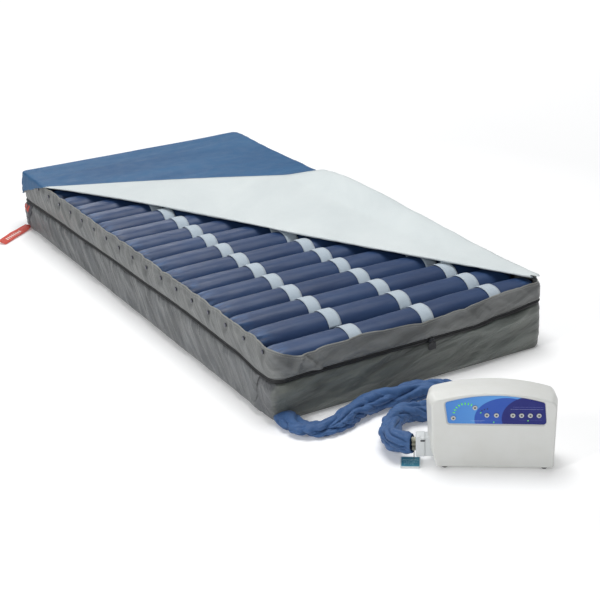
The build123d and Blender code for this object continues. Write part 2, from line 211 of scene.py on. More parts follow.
class Finish:
    """A node material, built up one node at a time."""

    def __init__(self, name, **shader):
        self.material = bpy.data.materials.new(name)
        self.material.use_nodes = True
        self.tree = self.material.node_tree
        self.shader = self.tree.nodes["Principled BSDF"]
        for key, value in shader.items():
            self.shader.inputs[key.replace("_", " ")].default_value = value
        self.normal = None

    def add(self, kind, inputs=(), **settings):
        node = self.tree.nodes.new("ShaderNode" + kind)
        for key, value in settings.items():
            setattr(node, key, value)
        for key, value in dict(inputs).items():
            self.plug(node.inputs[key], value)
        return node

    def plug(self, socket, value):
        if isinstance(value, bpy.types.NodeSocket):
            self.tree.links.new(value, socket)
        else:
            socket.default_value = value

    def math(self, operation, a, b=0.0, c=0.0):
        return self.add("Math", {0: a, 1: b, 2: c}, operation=operation).outputs[0]

    def where(self, kind="Object", **mapping):
        """Coordinates in metres, moved, turned or scaled."""
        at = self.add("TexCoord").outputs[kind]
        if not mapping:
            return at
        inputs = {"Vector": at}
        inputs.update({k.capitalize(): v for k, v in mapping.items() if k != "back"})
        kind = "TEXTURE" if mapping.get("back") else "POINT"
        return self.add("Mapping", inputs, vector_type=kind).outputs[0]

    def noise(self, at, scale, detail=4.0, rough=0.55, warp=0.0):
        inputs = {"Vector": at, "Scale": scale, "Detail": detail, "Roughness": rough, "Distortion": warp}
        return self.add("TexNoise", inputs).outputs["Fac"]

    def ridges(self, at, pitch, direction="X"):
        inputs = {"Vector": at, "Scale": WAVE_PITCH / pitch, "Detail": 1.0}
        return self.add("TexWave", inputs, bands_direction=direction).outputs["Fac"]

    def span(self, value, low, high, to_low=0.0, to_high=1.0):
        inputs = {"Value": value, "From Min": low, "From Max": high, "To Min": to_low, "To Max": to_high}
        return self.add("MapRange", inputs).outputs[0]

    def mix(self, share, a, b, blend="MIX"):
        """a and b are sockets, screen colours of 3 values or linear ones of 4."""
        node = self.add("Mix", data_type="RGBA", blend_type=blend)
        for k, value in ((0, share), (6, a), (7, b)):
            if isinstance(value, tuple) and len(value) == 3:
                value = rgb(*value)
            self.plug(node.inputs[k], value)
        return node.outputs[2]

    def plus(self, a, b):
        return self.math("ADD", a, b)

    def minus(self, a, b):
        return self.math("SUBTRACT", a, b)

    def size(self, a):
        return self.math("ABSOLUTE", a)

    def product(self, *values):
        total = values[0]
        for value in values[1:]:
            total = self.math("MULTIPLY", total, value)
        return total

    def axes(self, at):
        return self.add("SeparateXYZ", {0: at}).outputs

    def reach(self, a, b):
        """The length of (a, b)."""
        return self.math("SQRT", self.plus(self.product(a, a), self.product(b, b)))

    def grey(self, tone):
        return self.add("CombineColor", {0: tone, 1: tone, 2: tone}).outputs[0]

    def colour(self, value):
        self.plug(self.shader.inputs["Base Color"], value)
        return self

    def coloured(self):
        """What feeds the base colour so far."""
        return self.shader.inputs["Base Color"].links[0].from_socket

    def roughness(self, value):
        self.plug(self.shader.inputs["Roughness"], value)
        return self

    def bump(self, height, depth, strength=1.0):
        inputs = {"Height": height, "Distance": depth, "Strength": strength}
        if self.normal:
            inputs["Normal"] = self.normal
        self.normal = self.add("Bump", inputs).outputs[0]
        self.plug(self.shader.inputs["Normal"], self.normal)
        return self


def woven(name, deep, pale, pitch=0.001, blotch=7.0, dull=0.6, wrinkle=0.0008,
          stretch=(1, 1, 1), by="UV", **shader):
    """Coated fabric: a fine plain weave, soft wear and small wrinkles."""
    f = Finish(name, **shader)
    at = f.where(by)
    long = f.where(by, scale=stretch)
    tone = f.span(f.noise(long, blotch, 6.0, 0.6, 0.4), 0.32, 0.68)
    grain = f.span(f.noise(at, 700.0, 2.0), 0.2, 0.8, 0.88, 1.06)
    shade = f.grey(grain)
    f.colour(f.mix(1.0, f.mix(tone, deep, pale), shade, "MULTIPLY"))
    f.roughness(f.span(f.noise(at, 23.0, 5.0), 0.3, 0.7, dull - 0.07, dull + 0.07))
    if wrinkle:
        f.bump(f.noise(long, 26.0, 5.0, 0.5, 0.8), wrinkle)
    threads = f.product(f.ridges(at, pitch, "X"), f.ridges(at, pitch, "Y"))
    return f.bump(threads, pitch * 0.12)


def moulded(name, colour, dull=0.4, texture=1400.0, grain=0.00004, **shader):
    """Plastic or rubber with a fine moulded texture and faint wear."""
    f = Finish(name, **shader)
    at = f.where()
    r, g, b, _ = rgb(*colour)
    soiled = (r * 0.95, g * 0.945, b * 0.93, 1)
    patch = f.span(f.noise(at, 14.0, 7.0, 0.62, 0.3), 0.36, 0.74)
    f.colour(f.mix(patch, colour, soiled))
    f.roughness(f.span(f.noise(at, 60.0, 6.0), 0.3, 0.7, dull - 0.06, dull + 0.08))
    return f.bump(f.noise(at, texture, 2.0), grain)


def metal(name, colour, dull=0.3):
    f = Finish(name, Metallic=1.0)
    at = f.where()
    scratched = f.noise(f.where(scale=(1, 1, 9)), 300.0, 4.0)
    r, g, b, _ = rgb(*colour)
    f.colour(f.mix(f.noise(at, 30.0), colour, (r * 0.7, g * 0.7, b * 0.7, 1)))
    f.roughness(f.span(scratched, 0.3, 0.7, dull - 0.08, dull + 0.12))
    return f.bump(scratched, 0.00003)


def pressed_folds(f, foot, depth):
    """Drag folds: steep at the sides, long and shallow at the foot, with painted shade in their hollows and
    painted highlights on their ridges.
    """
    steep = f.where("UV", rotation=(0, 0, math.radians(44)), scale=(1, 7, 1), back=True)
    level = f.where("UV", rotation=(0, 0, math.radians(15)), scale=(5.5, 1, 1), back=True)
    side = f.noise(steep, 36.0, 3.0, 0.5, 0.25)
    end = f.noise(level, 23.0, 3.0, 0.5, 0.4)
    height = f.plus(f.product(side, f.minus(1.0, foot)), f.product(end, foot))
    cloth = f.coloured()
    # painted shade and highlight: the colour follows the fold height, darker in hollows and lighter on
    # ridges, half as strong at the sides
    fold_shading = f.span(height, 0.36, 0.64, 0.62, 1.22)
    fold_shading = f.plus(1.0, f.product(f.minus(fold_shading, 1.0), f.span(foot, 0.0, 1.0, 0.5, 1.0)))
    shade = f.grey(fold_shading)
    f.colour(f.mix(1.0, cloth, shade, "MULTIPLY"))
    f.bump(height, depth)
    return f.coloured()


def lower_finish():
    """Coated grey polyester, with a darker panel by the head corner."""
    f = woven("cover_cloth", (108, 111, 114), (118, 120, 121),
              stretch=(1.0, 2.2, 1), dull=0.38, wrinkle=0.0012)
    x, y, z = f.axes(f.where())
    foot = f.span(y, -0.965, -0.974)
    cloth = pressed_folds(f, foot, 0.020)
    olive = f.mix(1.0, cloth, (0.86, 0.90, 0.80, 1), "MULTIPLY")
    cloth = f.mix(foot, cloth, olive)
    left = f.span(x, -0.435, -0.445)
    corner = f.product(f.span(y, 0.899, 0.901), left)
    cloth = f.mix(f.product(corner, 0.75), cloth, (66, 68, 76))
    near = f.product(f.span(y, -0.889, -0.891), left)
    cloth = f.mix(f.product(near, 0.35), cloth, (72, 74, 80))
    for seam in SEAM_Y:  # painted shade in the slit beside each join
        lean = f.product(f.minus(SLIT_TOP, z), SLIT_LEAN)
        off = f.minus(f.minus(y, seam), lean)
        # painted shade: near-black colour where the slit opens
        slit_shade = f.product(f.span(f.size(off), 0.0026, 0.0012), f.span(z, 0.030, 0.050))
        cloth = f.mix(f.product(slit_shade, left, 0.85), cloth, (30, 31, 34))
    # two plain red bars printed on that panel
    low, high = f.span(z, 0.0735, 0.0745), f.span(z, 0.0965, 0.0955)
    band = f.product(low, high, left)
    for y0, y1 in ((0.917, 0.931), (0.936, 0.966)):
        bar = f.product(f.span(y, y0, y0 + 0.001), f.span(y, y1, y1 - 0.001))
        cloth = f.mix(f.product(bar, band), cloth, (196, 74, 58))
    return f.colour(cloth)


def cell_finish():
    """Navy nylon with a thin polyurethane coat: satin, with painted sky-blue reflections streaked over both
    ends.
    """
    f = Finish("cell_nylon", Coat_Weight=0.10, Coat_Roughness=0.35, Specular_IOR_Level=0.45)
    at = f.where()
    long = f.where(scale=(0.35, 1, 1))
    tone = f.span(f.noise(long, 9.0, 5.0, 0.6, 0.5), 0.3, 0.7)
    cloth = f.mix(tone, (26, 50, 88), (40, 66, 106))
    x = f.axes(at)[0]
    # painted reflection: streaks of sky blue over the last few centimetres of each end
    end = f.span(f.size(x), 0.375, 0.44)
    painted_glint = f.span(f.noise(f.where(scale=(1, 3, 1.4)), 30.0, 3.0), 0.42, 0.66)
    cloth = f.mix(f.product(end, painted_glint, 0.55), cloth, (74, 122, 176))
    f.colour(cloth)
    f.roughness(f.span(f.noise(at, 21.0, 4.0), 0.3, 0.7, 0.42, 0.56))
    f.bump(f.noise(f.where(scale=(0.22, 1, 1)), 40.0, 4.0, 0.5, 0.4), 0.0010)
    return f.bump(f.noise(at, 1100.0, 1.0), 0.00004)


def band_finish():
    """Ribbed elastic webbing, its ribs running round the cell."""
    f = Finish("band_webbing", Sheen_Weight=0.3)
    at = f.where("UV")
    ribs = f.ridges(at, 0.0026, "X")
    picks = f.ridges(at, 0.0015, "Y")
    tone = f.plus(f.product(ribs, 0.6), f.product(picks, 0.4))
    blotch = f.span(f.noise(f.where(), 30.0, 3.0), 0.3, 0.7, 0.0, 0.35)
    cloth = f.mix(f.product(tone, 0.8), (160, 176, 188), (202, 212, 220))
    f.colour(f.mix(blotch, cloth, (176, 190, 202)))
    f.roughness(f.span(tone, 0.0, 1.0, 0.82, 0.66))
    f.bump(ribs, 0.0003)
    return f.bump(picks, 0.00015)


def cover_outside():
    """Stretch blue polyurethane fabric, matt, with faint pressed lines."""
    return woven("cover_blue_side", (40, 86, 129), (56, 104, 146), pitch=0.0011, blotch=5.0, dull=0.6,
                 wrinkle=0.0016, stretch=(0.3, 1.4, 1), Specular_IOR_Level=0.35)


def cover_inside():
    """The cover's knitted white face, with a line of stitches by its hem, painted grey as the shade along
    that seam.
    """
    f = woven("cover_white_side", (207, 215, 216), (220, 227, 227), pitch=0.0014, blotch=4.0, dull=0.75,
              wrinkle=0.0006, stretch=(0.5, 1, 1), Sheen_Weight=0.25)
    u = f.axes(f.where("UV"))[0]
    off = f.size(f.plus(f.size(u), -0.526))
    # the stitched line by the hem: its groove is a bump, its grey is painted shade along it
    line = f.span(off, 0.0016, 0.0006)
    cloth = f.coloured()
    f.colour(f.mix(f.product(line, 0.55), cloth, (176, 186, 190)))
    return f.bump(line, 0.0006)


def sleeve_finish():
    """Matt blue fabric, more wrinkled than the cover."""
    return woven("sleeve_cloth", (44, 82, 132), (62, 101, 152), pitch=0.0008, blotch=16.0, dull=0.62,
                 wrinkle=0.0022, Sheen_Weight=0.1)


def strap_finish():
    """Red ribbon with a row of plain white blocks in place of print."""
    f = woven("ribbon", (200, 64, 52), (218, 84, 66), pitch=0.0012, blotch=20.0, wrinkle=0.0002, dull=0.6)
    u, v, _ = f.axes(f.where("UV"))
    inside = f.span(f.size(u), 0.0062, 0.0056)
    dash = f.ridges(f.where("UV"), 0.0125, "Y")
    block = f.product(f.span(dash, 0.5, 0.6), inside)
    run = f.product(f.span(v, 0.058, 0.060), f.span(v, 0.163, 0.161))
    cloth = f.coloured()
    return f.colour(f.mix(f.product(block, run), cloth, (240, 236, 230)))


def pump_coords(f):
    """Width, depth and height from the pump's own corner."""
    at = f.where(location=PUMP_AT, rotation=(0, 0, PUMP_YAW), back=True)
    return f.axes(at)


def ellipse(f, u, z, centre, half, edge=0.012):
    """1 inside an ellipse in the panel's plane."""
    a = f.math("DIVIDE", f.minus(u, centre[0]), half[0])
    b = f.math("DIVIDE", f.minus(z, centre[1]), half[1])
    away = f.reach(a, b)
    return f.span(away, 1 + edge, 1 - edge)


def patch(f, u, z, low, high, edge=0.0002):
    """1 inside a rectangle in the panel's plane."""
    sides = [f.span(v, a - edge, a + edge) for v, a in ((u, low[0]), (z, low[1]))]
    sides += [f.span(v, a + edge, a - edge) for v, a in ((u, high[0]), (z, high[1]))]
    return f.product(*sides)


METER_CENTRE = (0.072, 0.152)
LAMP_STEP = 15.7


def panel_finish():
    """Printed film: three blues, a meter of green dashes and plain rules."""
    f = Finish("panel_print", Roughness=0.36, Specular_IOR_Level=0.3)
    u, _, z = pump_coords(f)
    at = f.where()
    light = f.mix(f.span(u, 0.02, 0.15), (74, 136, 214), (98, 164, 232))
    film = f.mix(ellipse(f, u, z, (0.170, 0.140), (0.077, 0.057)), light, (48, 88, 182))
    film = f.mix(ellipse(f, u, z, (0.235, 0.142), (0.076, 0.060)), film, (30, 34, 116))
    fade = f.span(f.noise(at, 40.0, 3.0), 0.3, 0.7, 0.0, 0.07)
    film = f.mix(fade, film, (92, 120, 190))
    # the meter's radial dashes
    du, dz = f.minus(u, METER_CENTRE[0]), f.minus(z, METER_CENTRE[1])
    reach = f.reach(du, dz)
    turn = f.product(f.math("ARCTAN2", dz, du), 180 / math.pi)
    step = f.math("MODULO", f.plus(turn, LAMP_STEP / 2 - 172 + 12 * LAMP_STEP), LAMP_STEP)
    near = f.span(f.size(f.minus(step, LAMP_STEP / 2)), 2.9, 2.3)
    within = f.product(f.span(reach, 0.0252, 0.0256), f.span(reach, 0.0322, 0.0318))
    arc = f.product(f.span(turn, 55.5, 56.0), f.span(turn, 176.5, 176.0))
    dash = f.product(near, within, arc)
    film = f.mix(dash, film, (96, 214, 60))
    # plain rules
    for low, high, share, tint in (
        ((0.084, 0.1345), (0.118, 0.1352), 0.6, (196, 220, 246)),
        ((0.088, 0.1312), (0.112, 0.1318), 0.4, (196, 220, 246)),
        ((0.112, 0.1365), (0.156, 0.1371), 0.35, (150, 180, 230)),
        ((0.186, 0.1722), (0.258, 0.1728), 0.55, (140, 148, 214)),
        ((0.180, 0.1662), (0.258, 0.1668), 0.7, (176, 182, 230)),
        ((0.200, 0.1372), (0.256, 0.1378), 0.4, (128, 136, 204)),
    ):
        stops = f.span(f.noise(f.where(scale=(1, 1, 0.2)), 420.0, 1.0), 0.42, 0.5, 0.45, 1.0)
        rule = f.product(patch(f, u, z, low, high), stops, share)
        film = f.mix(rule, film, tint)
    f.colour(film)
    return f.bump(f.noise(at, 900.0, 2.0), 0.00002)


def lamp_finish():
    """Circuit board with its light pipes: green meter, dark mode marks."""
    f = Finish("board_and_lamps", Roughness=0.35, Emission_Strength=0.25)
    u, w, z = pump_coords(f)
    dark = patch(f, u, z, (0.1095, 0.160), (0.128, 0.170))
    tint = f.mix(dark, (110, 226, 70), (16, 26, 44))
    board = f.mix(f.noise(f.where(), 90.0), (22, 70, 44), (36, 92, 58))
    front = f.span(w, 0.0125, 0.012)
    tint = f.mix(front, board, tint)
    f.plug(f.shader.inputs["Emission Color"], f.mix(front, (0, 0, 0, 1), tint))
    return f.colour(tint)


def button_finish(name, centre):
    """Pale ring with a small dark eye."""
    f = Finish(name, Roughness=0.42)
    u, _, z = pump_coords(f)
    du, dz = f.minus(u, centre[0]), f.minus(z, centre[1])
    reach = f.reach(du, dz)
    cap = f.mix(f.noise(f.where(), 160.0), (214, 216, 214), (196, 199, 200))
    cap = f.mix(f.span(reach, 0.0036, 0.0030), cap, (150, 152, 148))
    cap = f.mix(f.span(reach, 0.0021, 0.0016), cap, (40, 46, 40))
    cap = f.mix(f.span(reach, 0.0052, 0.0057), cap, (150, 152, 158))
    f.colour(cap)
    return f.bump(f.span(reach, 0.0020, 0.0034), 0.0006)


def card_finish():
    """Teal card with a pale border and plain rules."""
    f = Finish("tag_card", Roughness=0.45)
    u, w, z = pump_coords(f)
    card = f.mix(f.noise(f.where(), 50.0, 4.0), (58, 128, 152), (72, 144, 166))
    rules = (
        ((-0.083, 0.034), (-0.043, 0.039)),
        ((-0.080, 0.024), (-0.046, 0.028)),
        ((-0.080, 0.014), (-0.054, 0.018)),
    )
    for low, high in rules:
        broken = f.span(f.noise(f.where(scale=(1, 1, 0)), 260.0, 1.0), 0.44, 0.52, 0.1, 1.0)
        rule = f.product(patch(f, u, w, low, high), broken, 0.75)
        card = f.mix(rule, card, (176, 210, 218))
    rim = patch(f, u, w, (-0.0855, 0.0045), (-0.0405, 0.0515))
    card = f.mix(rim, (206, 218, 220), card)
    side = f.span(z, 0.0042, 0.0038)
    card = f.mix(side, card, (222, 226, 226))
    f.colour(f.mix(f.span(z, 0.0049, 0.0054), card, (92, 96, 96)))
    return f.bump(f.noise(f.where(), 800.0), 0.00003)


def strip_finish():
    """The same cloth above the zip, with a stitched hem on its free edge."""
    f = woven("strip_cloth", (110, 113, 114), (120, 122, 121), stretch=(1, 2, 1), dull=0.42, wrinkle=0.0010)
    y = f.axes(f.where())[1]
    cloth = pressed_folds(f, f.span(y, -0.955, -0.968), 0.014)
    v = f.axes(f.where("UV"))[1]
    rim = f.span(v, -0.0032, -0.0012)
    stitch = f.span(f.size(f.plus(v, 0.0072)), 0.0008, 0.0004)
    dash = f.span(f.ridges(f.where("UV"), 0.0042), 0.35, 0.5)
    cloth = f.mix(f.product(rim, 0.45), cloth, (168, 168, 160))
    cloth = f.mix(f.product(stitch, dash, 0.6), cloth, (170, 170, 164))
    return f.colour(cloth)


M = {
    "cover": lower_finish(),
    "surround": strip_finish(),
    "zip": woven("zip_tape", (20, 21, 24), (32, 34, 37), pitch=0.0008, blotch=30.0, dull=0.55, wrinkle=0.0),
    "tab": woven("pull_cloth", (34, 35, 38), (48, 49, 52),
                 pitch=0.0011, blotch=40.0, wrinkle=0.0002, by="Object"),
    "cell": cell_finish(),
    "band": band_finish(),
    "blue": cover_outside(),
    "white": cover_inside(),
    "film": woven("base_film", (150, 156, 158), (168, 172, 174), by="Object", dull=0.4),
    "sleeve": sleeve_finish(),
    "strap": strap_finish(),
    "stud": moulded("stud_plastic", (20, 25, 52), 0.28, Coat_Weight=0.3),
    "red": moulded("valve_plastic", (196, 60, 50), 0.35),
    "fitting": moulded("fitting_plastic", (214, 218, 220), 0.36),
    "tube": moulded("tube_pvc", (206, 204, 182), 0.25, Transmission_Weight=0.25),
    "case": moulded("case_plastic", (222, 223, 220), 0.38, Specular_IOR_Level=0.45),
    "dark": moulded("dark_plastic", (46, 50, 56), 0.4),
    "rubber": moulded("foot_rubber", (40, 41, 43), 0.7, grain=0.00012),
    "motor": metal("motor_metal", (150, 152, 156)),
    "steel": metal("steel_wire", (190, 192, 196), 0.24),
    "panel": panel_finish(),
    "lamps": lamp_finish(),
    "card": card_finish(),
}


# ---- hose --------------------------------------------------------------------
# the CAD route's points; the first runs lie lower, where the sleeve is slack
HOSE_ROUTE = [
    (-0.424, -0.9755, 0.028), (-0.430, -1.026, 0.025), (-0.416, -1.074, 0.025),
    (-0.376, -1.100, 0.026), (-0.322, -1.094, 0.027), (-0.270, -1.072, 0.028),
    (-0.214, -1.058, 0.028), (-0.156, -1.056, 0.028), (-0.098, -1.060, 0.028),
    (-0.044, -1.064, 0.028), (0.006, -1.086, 0.028), (0.038, -1.130, 0.028),
    (0.028, -1.182, 0.028), (-0.020, -1.206, 0.028), (-0.072, -1.192, 0.028),
    (-0.118, -1.162, 0.028), (-0.168, -1.152, 0.028), (-0.210, -1.174, 0.029),
    (-0.244, -1.216, 0.032), (-0.272, -1.262, 0.038), (-0.289, -1.305, 0.046),
    (-0.2589, -1.3391, 0.049),
]


def smooth_line(route):
    """Points read from the route's own NURBS spline."""
    data = bpy.data.curves.new("route", "CURVE")
    data.dimensions, data.resolution_u = "3D", 14
    spline = data.splines.new("NURBS")
    spline.points.add(len(route) - 1)
    for point, place in zip(spline.points, route):
        point.co = (*place, 1)
    spline.order_u, spline.use_endpoint_u = 3, True
    holder = bpy.data.objects.new("route", data)
    bpy.context.scene.collection.objects.link(holder)
    bpy.context.view_layer.update()
    mesh = bpy.data.meshes.new_from_object(holder)
    points = [v.co.copy() for v in mesh.vertices]
    bpy.data.objects.remove(holder)
    bpy.data.meshes.remove(mesh)
    return points


def hose_sleeve():
    """Loose fabric sleeve, gathered in folds, flattened where it is slack."""
    line = smooth_line(HOSE_ROUTE)
    rows, uv, run = [], [], 0.0
    ring = 72
    total = sum((b - a).length for a, b in zip(line, line[1:]))
    for i, at in enumerate(line):
        if i:
            run += (at - line[i - 1]).length
        ahead = (line[min(i + 1, len(line) - 1)] - line[max(i - 1, 0)]).normalized()
        side = ahead.cross(Vector((0, 0, 1))).normalized()
        up = side.cross(ahead)
        before, after = line[max(i - 5, 0)], line[min(i + 5, len(line) - 1)]
        bend = (after - at).normalized().cross((at - before).normalized()).z  # + turns left
        slack = 1 - smooth(run, 0.08, 0.36)
        flat = 1 - 0.36 * slack
        wide = 1 + 0.14 * slack
        start, end = smooth(run, 0.0, 0.03), smooth(total - run, 0.0, 0.016)
        row, marks = [], []
        for k in range(ring):
            turn = 2 * math.pi * k / ring
            c, s = math.cos(turn), math.sin(turn)
            # long folds wander round the sleeve, short ones cross it
            twist = turn + 9 * run + 1.5 * bumps(run * 6, 0.3)
            tc, ts = math.cos(twist), math.sin(twist)
            inner = max(0.0, -c * bend * 5)
            broad = creases(run * 10 + 0.6 * ts, tc * 1.0, ts * 1.0, 2.2)
            fine = creases(run * 24 + 1.2 * tc, tc * 1.8, ts * 1.8 + 3.0, 2.4)
            across = creases(run * 30, c * 0.7, s * 0.7 + 6.0, 1.4)
            fold = 0.0056 * bumps(run * 7, tc * 0.9, ts * 0.9 + 9) - 0.0098 * broad - 0.0034 * fine
            fold -= 0.0075 * across * min(inner * 1.6 + 0.30, 1.3) + 0.0025 * min(inner, 1.5)
            fold *= start * (0.35 + 0.65 * end)
            r = 0.0312 + fold
            r = min(r, 0.0352 / max(1.0, wide * abs(c)))
            r *= (0.86 + 0.14 * start) * (0.80 + 0.20 * end)
            place = at + side * (r * c * wide) + up * (r * s * flat - 0.027 * (1 - flat))
            place.z = max(place.z, 0.0012 + 0.0008 * (1 + bumps(run * 30, c * 3)))
            row.append(place)
            marks.append((turn * 0.027, run))
        rows.append(row)
        uv.append(marks)
    piece = grid_piece("hose_sleeve_cloth", rows, M["sleeve"], loop=True, uv=uv)
    thicken(piece, 0.0009)
    settle(piece, "sleeve_blue", "hose_sleeve")


hose_sleeve()


# ---- covers ------------------------------------------------------------------
def outline(spacing):
    """(x, y, normal x, normal y, distance) round the wall, from the head, leftwards."""
    corners = (  # side in x and in y, radius, where its turn starts
        (-1, 1, HEAD_CORNER, 90), (-1, -1, FOOT_CORNER, 180),
        (1, -1, FOOT_CORNER, 270), (1, 1, HEAD_CORNER, 0),
    )
    points, run, last = [], 0.0, None

    def put(x, y, nx, ny):
        nonlocal run, last
        if last:
            run += math.hypot(x - last[0], y - last[1])
        last = (x, y)
        points.append((x, y, nx, ny, run))

    at = (0.0, HALF_Y)
    for sx, sy, r, start in corners:
        cx, cy = sx * (HALF_X - r), sy * (HALF_Y - r)
        a = math.radians(start)
        nx, ny = math.cos(a), math.sin(a)
        goal = (cx + r * nx, cy + r * ny)
        steps = max(1, round(math.dist(at, goal) / spacing))
        for i in range(steps):
            t = i / steps
            put(at[0] + (goal[0] - at[0]) * t, at[1] + (goal[1] - at[1]) * t, nx, ny)
        steps = max(6, round(r * math.pi / 2 / spacing))
        for i in range(steps):
            b = a + math.pi / 2 * i / steps
            put(cx + r * math.cos(b), cy + r * math.sin(b), math.cos(b), math.sin(b))
        b = a + math.pi / 2
        at = (cx + r * math.cos(b), cy + r * math.sin(b))
    steps = round(at[0] / spacing)
    for i in range(steps):
        put(at[0] * (1 - i / steps), at[1], 0.0, 1.0)
    return points


ZIP_HALF = 0.0052


def zip_height(x, y, nx, ny):
    """The zip wanders a little, level where its slider runs."""
    left = along([(-0.96, 0.118), (-0.893, 0.116), (-0.745, 0.129), (-0.42, 0.134), (0.0, 0.127),
                  (0.5, 0.118), (0.95, 0.108)], y)
    foot = along([(-0.444, 0.117), (-0.345, 0.1210), (0.19, 0.1211), (0.30, 0.133), (0.44, 0.147)], x)
    right = along([(-0.94, 0.147), (-0.70, 0.130), (-0.40, 0.122)], y)
    if ny < -0.02:
        t = smooth(nx, -1, 0) if nx < 0 else 1.0
        height = left * (1 - t) + foot * t
        if nx > 0:
            height += (right - height) * smooth(nx)
        return height
    if nx < -0.02:
        return left + (0.112 - left) * smooth(ny)
    if nx > 0.98:
        return right
    return 0.122 - 0.010 * smooth(-x, -0.2, 0.4) * smooth(ny)


def side_share(nx, ny):
    """How far a normal belongs to the left and to the foot side."""
    return smooth(-nx, 0.3, 0.9), smooth(-ny, 0.3, 0.9)


def slider_track(x, ny):
    """1 along the foot zip where the slider runs."""
    return smooth(-ny, 0.9, 1.0) * smooth(x, -0.350, -0.326) * (1 - smooth(x, 0.186, 0.206))


def lower_cover():
    """Grey cover below the zip: floor, walls and soft drag wrinkles."""
    ring = outline(0.0040)
    levels = [0.0, 0.0, 0.0012, 0.004, 0.009] + [0.015 + 0.0052 * k for k in range(19)]
    rows, uv = [], []
    high = levels[-1]
    for j, level in enumerate(levels):
        row, marks = [], []
        for x, y, nx, ny, run in ring:
            top = zip_height(x, y, nx, ny) - ZIP_HALF
            z = level if level < 0.015 else 0.015 + (level - 0.015) / (high - 0.015) * (top - 0.015)
            t = z / top
            left, foot = side_share(nx, ny)
            out = (-0.016, -0.006, -0.0028, -0.001, 0.0)[j] if j < 5 else 0.0
            if j > 1:
                loose = smooth(z, 0.0, 0.022) * (1 - 0.75 * smooth(t, 0.86, 1.0))
                slant = run + 1.15 * z
                rise = z - 0.20 * run
                drag = layered(
                    (0.0075, slant * 11, z * 5 + 3.1, 0.0, 1.6), (0.0050, slant * 23, z * 7, 4.0, 1.5),
                    (0.0024, slant * 47, z * 11, 9.0, 1.3))
                sag = layered(
                    (0.0085, rise * 19, run * 2.3, 2.0, 1.3), (0.0050, rise * 37 + 1.7, run * 4.6, 5.0, 1.3),
                    (0.0040, run * 8 + z * 11, z * 8, 1.0, 1.5))
                soft = 0.0040 * bumps(run * 4.2, z * 9, 8.0)
                calm = 1 - 0.75 * smooth(x, 0.33, 0.43)
                both = (1 - left) * (1 - foot) * 0.25 * (drag + sag)
                out += loose * calm * (left * drag + foot * sag + both + soft)
                out += 0.0035 * math.sin(math.pi * clamp(t)) - 0.0012
                out -= 0.0016 * math.exp(-((top - z) / 0.004) ** 2)
                for seam in SEAM_Y if left > 0.9 else ():  # sewn joins with a slit beside them
                    deep = 0.0070 * math.exp(-(((y - seam) - SLIT_LEAN * (SLIT_TOP - z)) / 0.0058) ** 2)
                    lap = smooth(y, seam - 0.002, seam + 0.004) * (1 - smooth(y, seam + 0.01, seam + 0.05))
                    out += 0.0036 * lap - deep * smooth(z, 0.012, 0.04)
                under = foot * smooth(z, 0.080, 0.092) * smooth(x, -0.40, -0.35) * (1 - smooth(x, 0.20, 0.26))
                out += (min(out, 0.0035) - out) * under  # flat behind the zip pull
                out += (min(out, 0.0006) - out) * slider_track(x, ny) * smooth(z, 0.104, 0.111)
            row.append((x + nx * out, y + ny * out, z))
            marks.append((run, z))
        rows.append(row)
        uv.append(marks)
    piece = grid_piece("lower_cover", rows, M["cover"], loop=True, uv=uv)

    close_rings(piece, len(ring), 0)
    piece.data.shade_smooth()
    thicken(piece, 0.0014)
    return settle(piece, "cover_grey", "base_cover")


STUD_Y = [(8.5 - k) * CELL_STEP for k in range(18)]
STUD_Z = 0.190


def strip_top(x, y, nx, ny):
    """The strip's free edge: it droops between its corners at the foot."""
    left = along([(-0.97, 0.205), (-0.93, 0.209), (-0.86, 0.214), (-0.5, 0.216), (0.3, 0.217), (0.68, 0.216),
                  (0.76, 0.2095), (0.97, 0.2085)], y)
    if y < 0.72:
        left += 0.0024 * bumps(y * 9, 1.7) + 0.0016 * math.cos(2 * math.pi * y / CELL_STEP)
    foot = along([(-0.45, 0.205), (-0.363, 0.181), (-0.277, 0.188), (-0.182, 0.193), (-0.053, 0.188),
                  (0.03, 0.180), (0.149, 0.190), (0.288, 0.209), (0.446, 0.2095)], x)
    a, b = smooth(-nx, 0.05, 0.95), smooth(-ny, 0.05, 0.95)
    return (left * a + foot * b) / (a + b) if a + b > 0.3 else 0.2088


